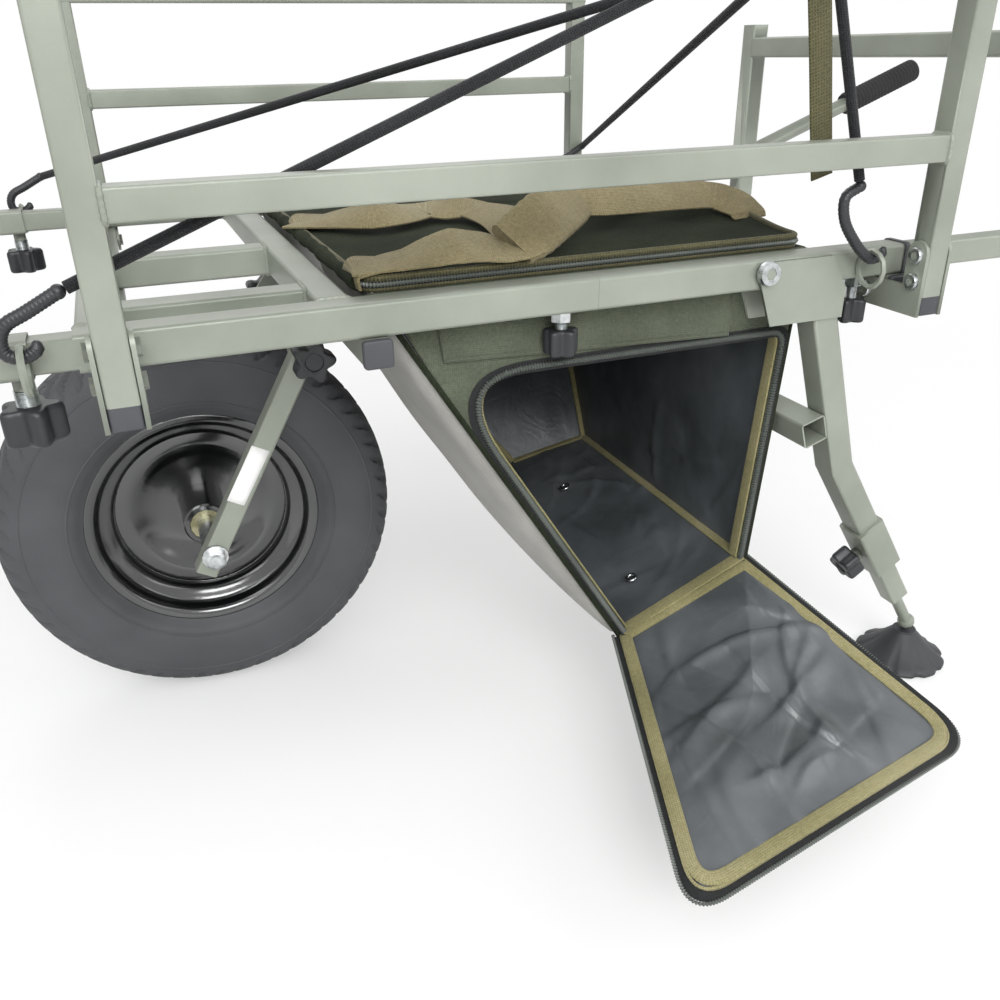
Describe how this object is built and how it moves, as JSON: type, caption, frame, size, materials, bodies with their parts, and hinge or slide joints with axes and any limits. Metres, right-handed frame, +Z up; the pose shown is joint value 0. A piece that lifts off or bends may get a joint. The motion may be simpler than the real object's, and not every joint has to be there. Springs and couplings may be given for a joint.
{
  "type": "fishing trolley",
  "caption": "Folding fishing trolley: square-tube deck on a forked pneumatic wheel and telescopic rear legs, with side panels, sliding end frames and an under-deck bag.",
  "frame": {"origin": "centre of the top face of the deck's middle cross bar", "axes": "+X to the rear, towards the handles; +Y to the far side, away from the bag's opening; +Z up"},
  "size_m": [1.4831, 0.8638, 0.688],
  "materials": {
    "green_powder_coat": "satin",
    "zinc_plate": "satin",
    "black_enamel": "gloss",
    "tyre_rubber": "matte",
    "tube_rubber": "matte",
    "black_plastic": "matte",
    "foot_plastic": "matte",
    "grip_foam": "matte",
    "olive_canvas": "matte",
    "lid_canvas": "matte",
    "strap_webbing": "matte",
    "cord_elastic": "matte",
    "olive_webbing": "matte"
  },
  "bodies": {
    "deck": {"rail_near_front": "green_powder_coat", "rail_far_front": "green_powder_coat", "rail_near_rear": "green_powder_coat", "rail_far_rear": "green_powder_coat", "cross_bar_front": "green_powder_coat", "cross_bar_middle": "green_powder_coat", "bay_bar_near": "green_powder_coat", "bay_bar_far": "green_powder_coat", "under_tube_front": "green_powder_coat", "under_tube_middle": "green_powder_coat", "under_tube_rear": "green_powder_coat", "bag_body": "olive_canvas", "cord_near_front": "cord_elastic", "cord_far_front": "cord_elastic", "cord_near_rear": "cord_elastic", "cord_far_rear": "cord_elastic", "cord_hook_near_rear": "black_plastic", "cord_hook_far_rear": "black_plastic"},
    "fork": {"fork_arm_near": "green_powder_coat", "fork_arm_far": "green_powder_coat", "axle": "zinc_plate"},
    "wheel": {"tyre": "tyre_rubber", "inner_tube": "tube_rubber", "rim": "black_enamel", "bearing_near": "zinc_plate", "bearing_far": "zinc_plate"},
    "near_panel": {"side_panel_near": "green_powder_coat", "hinge_near_front": "green_powder_coat", "hinge_near_rear": "green_powder_coat", "lash_strap": "olive_webbing"},
    "far_panel": {"side_panel_far": "green_powder_coat", "hinge_far_front": "green_powder_coat", "hinge_far_rear": "green_powder_coat"},
    "legs": {"leg_near": "green_powder_coat", "leg_far": "green_powder_coat", "leg_brace": "green_powder_coat"},
    "near_leg_tube": {"leg_tube_near": "green_powder_coat"},
    "far_leg_tube": {"leg_tube_far": "green_powder_coat"},
    "near_foot": {"foot_near": "foot_plastic"},
    "far_foot": {"foot_far": "foot_plastic"},
    "front_frame": {"front_extension": "green_powder_coat", "cord_hook_near_front": "black_plastic", "cord_hook_far_front": "black_plastic"},
    "handle_frame": {"rear_handle_frame": "green_powder_coat", "grip_near": "grip_foam", "grip_far": "grip_foam"},
    "flap": {"bag_flap": "olive_canvas"},
    "lid": {"bag_lid": "lid_canvas", "carry_strap_near": "strap_webbing", "carry_strap_far": "strap_webbing"},
    "joiner_knob_body_near": {"joiner_knob_near": "black_plastic"},
    "joiner_knob_body_far": {"joiner_knob_far": "black_plastic"},
    "handle_knob_body_near": {"handle_knob_near": "black_plastic"},
    "handle_knob_body_far": {"handle_knob_far": "black_plastic"},
    "front_knob_body_near": {"front_knob_near": "black_plastic"},
    "front_knob_body_far": {"front_knob_far": "black_plastic"},
    "fork_knob_body_near": {"fork_knob_near": "black_plastic"},
    "fork_knob_body_far": {"fork_knob_far": "black_plastic"},
    "leg_knob_body_near": {"leg_knob_near": "black_plastic"},
    "leg_knob_body_far": {"leg_knob_far": "black_plastic"}
  },
  "joints": [
    {"name": "fork_swing", "type": "hinge", "parent": "deck", "child": "fork", "pos_m": [0.005, 0, -0.085], "axis": [0, 1, 0], "range_deg": [-20, 9]},
    {"name": "wheel_spin", "type": "hinge", "parent": "fork", "child": "wheel", "pos_m": [-0.101, 0, -0.269], "axis": [0, 1, 0], "continuous": true},
    {"name": "near_panel_fold", "type": "hinge", "parent": "deck", "child": "near_panel", "pos_m": [0.168, -0.28, -0.04], "axis": [1, 0, 0], "range_deg": [0, 90], "deforming": ["cord_near_front", "cord_near_rear", "cord_far_front", "cord_far_rear"]},
    {"name": "far_panel_fold", "type": "hinge", "parent": "deck", "child": "far_panel", "pos_m": [0.168, 0.28, -0.04], "axis": [-1, 0, 0], "range_deg": [0, 90]},
    {"name": "leg_fold", "type": "hinge", "parent": "deck", "child": "legs", "pos_m": [0.3425, 0, -0.0105], "axis": [0, 1, 0], "range_deg": [0, 90], "deforming": ["bag_body", "bag_flap"]},
    {"name": "front_extend", "type": "slide", "parent": "deck", "child": "front_frame", "axis": [1, 0, 0], "range_m": [-0.035, 0.015], "deforming": ["cord_near_front", "cord_far_front"]},
    {"name": "handle_extend", "type": "slide", "parent": "deck", "child": "handle_frame", "axis": [1, 0, 0], "range_m": [-0.015, 0.06]},
    {"name": "flap_close", "type": "hinge", "parent": "deck", "child": "flap", "pos_m": [0.2438, -0.2705, -0.3513], "axis": [-0.9308, 0, -0.3656], "range_deg": [-12, 100]},
    {"name": "lid_open", "type": "hinge", "parent": "deck", "child": "lid", "pos_m": [0.013, 0, 0.01], "axis": [0, -1, 0], "range_deg": [0, 120], "deforming": ["cord_far_front", "cord_far_rear"]},
    {"name": "leg_extend_near", "type": "slide", "parent": "legs", "child": "near_leg_tube", "axis": [0.541, 0, -0.8411], "range_m": [-0.03, 0.06]},
    {"name": "foot_tilt_near", "type": "hinge", "parent": "near_leg_tube", "child": "near_foot", "pos_m": [0.593, -0.2875, -0.416], "axis": [0, 1, 0], "range_deg": [-20, 20]},
    {"name": "joiner_knob_turn_near", "type": "hinge", "parent": "deck", "child": "joiner_knob_body_near", "pos_m": [0.169, -0.2875, -0.037], "axis": [0, 0, 1], "continuous": true},
    {"name": "handle_knob_turn_near", "type": "hinge", "parent": "deck", "child": "handle_knob_body_near", "pos_m": [0.445, -0.2875, -0.037], "axis": [0, 0, 1], "continuous": true},
    {"name": "front_knob_turn_near", "type": "hinge", "parent": "front_frame", "child": "front_knob_body_near", "pos_m": [-0.201, -0.2875, -0.037], "axis": [0, 0, 1], "continuous": true},
    {"name": "fork_knob_turn_near", "type": "hinge", "parent": "fork", "child": "fork_knob_body_near", "pos_m": [0.005, -0.1, -0.085], "axis": [0, 1, 0], "continuous": true},
    {"name": "leg_knob_turn_near", "type": "hinge", "parent": "legs", "child": "leg_knob_body_near", "pos_m": [0.51983, -0.2875, -0.30224], "axis": [-0.8411, 0, -0.541], "continuous": true},
    {"name": "leg_extend_far", "type": "slide", "parent": "legs", "child": "far_leg_tube", "axis": [0.541, 0, -0.8411], "range_m": [-0.03, 0.06]},
    {"name": "foot_tilt_far", "type": "hinge", "parent": "far_leg_tube", "child": "far_foot", "pos_m": [0.593, 0.2875, -0.416], "axis": [0, 1, 0], "range_deg": [-20, 20]},
    {"name": "joiner_knob_turn_far", "type": "hinge", "parent": "deck", "child": "joiner_knob_body_far", "pos_m": [0.169, 0.2875, -0.037], "axis": [0, 0, 1], "continuous": true},
    {"name": "handle_knob_turn_far", "type": "hinge", "parent": "deck", "child": "handle_knob_body_far", "pos_m": [0.445, 0.2875, -0.037], "axis": [0, 0, 1], "continuous": true},
    {"name": "front_knob_turn_far", "type": "hinge", "parent": "front_frame", "child": "front_knob_body_far", "pos_m": [-0.236, 0.2875, -0.037], "axis": [0, 0, 1], "continuous": true},
    {"name": "fork_knob_turn_far", "type": "hinge", "parent": "fork", "child": "fork_knob_body_far", "pos_m": [0.005, 0.1, -0.085], "axis": [0, 1, 0], "continuous": true},
    {"name": "leg_knob_turn_far", "type": "hinge", "parent": "legs", "child": "leg_knob_body_far", "pos_m": [0.51983, 0.2875, -0.30224], "axis": [-0.8411, 0, -0.541], "continuous": true}
  ]
}
